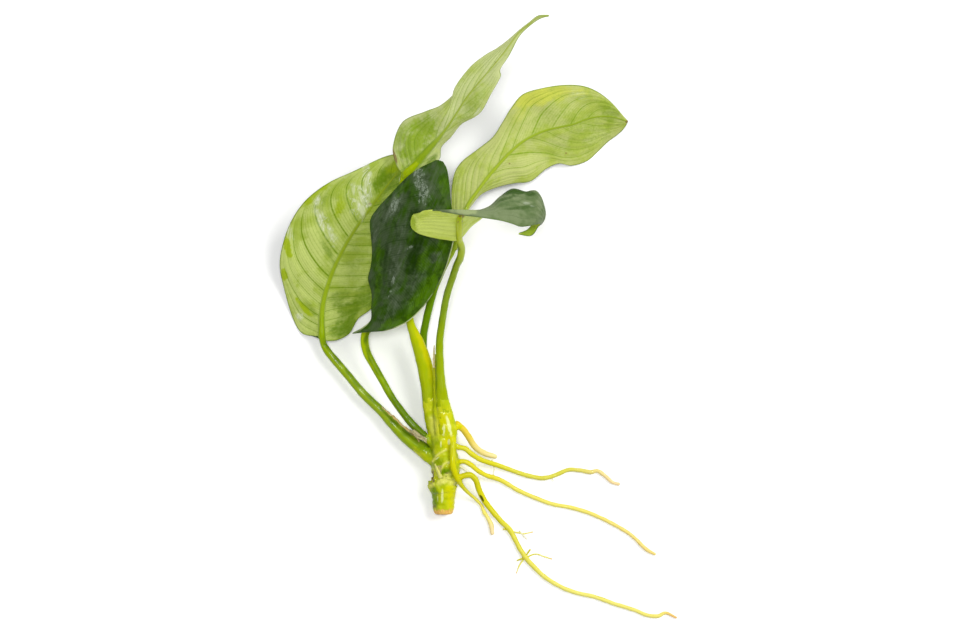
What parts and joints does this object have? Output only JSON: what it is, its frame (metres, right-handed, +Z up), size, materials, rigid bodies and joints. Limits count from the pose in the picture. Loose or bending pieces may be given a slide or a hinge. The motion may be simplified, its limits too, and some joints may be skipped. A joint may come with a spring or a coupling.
{
  "type": "bare-root anubias plant",
  "caption": "Bare-root anubias lying on its side: oval leaves on long stalks, a short cut rhizome with dry leaf-base remnants, and thin spreading roots with fine rootlets.",
  "frame": {"origin": "middle of the whole plant's outline seen from above, on the surface it lies on", "axes": "+Z up from the surface, +Y along the plant from the cut rhizome and roots towards the leaf tips, +X to the right when seen from above, the side the roots spread to"},
  "size_m": [0.1584, 0.2371, 0.0841],
  "materials": {
    "pale_leaf": "satin, matte underside with pale veins",
    "dark_leaf": "glossy, wet",
    "curled_leaf": "satin",
    "stalk": "glossy, wet",
    "sheath": "glossy, wet",
    "rhizome": "glossy, wet",
    "root": "satin",
    "dry_remnant": "papery, matte"
  },
  "bodies": {
    "root": {"left_leaf": "pale_leaf", "upper_leaf": "pale_leaf", "dark_leaf": "dark_leaf", "right_leaf": "pale_leaf", "curled_leaf": "curled_leaf", "left_leaf_stalk": "stalk", "upper_leaf_stalk": "sheath", "dark_leaf_stalk": "stalk", "right_leaf_stalk": "stalk", "curled_leaf_stalk": "stalk", "rhizome": "rhizome", "short_root": "root", "upper_root": "root", "middle_root": "root", "long_root": "root", "front_root": "root", "left_remnant": "dry_remnant", "upper_remnant": "dry_remnant", "rhizome_scale": "dry_remnant"}
  },
  "joints": []
}
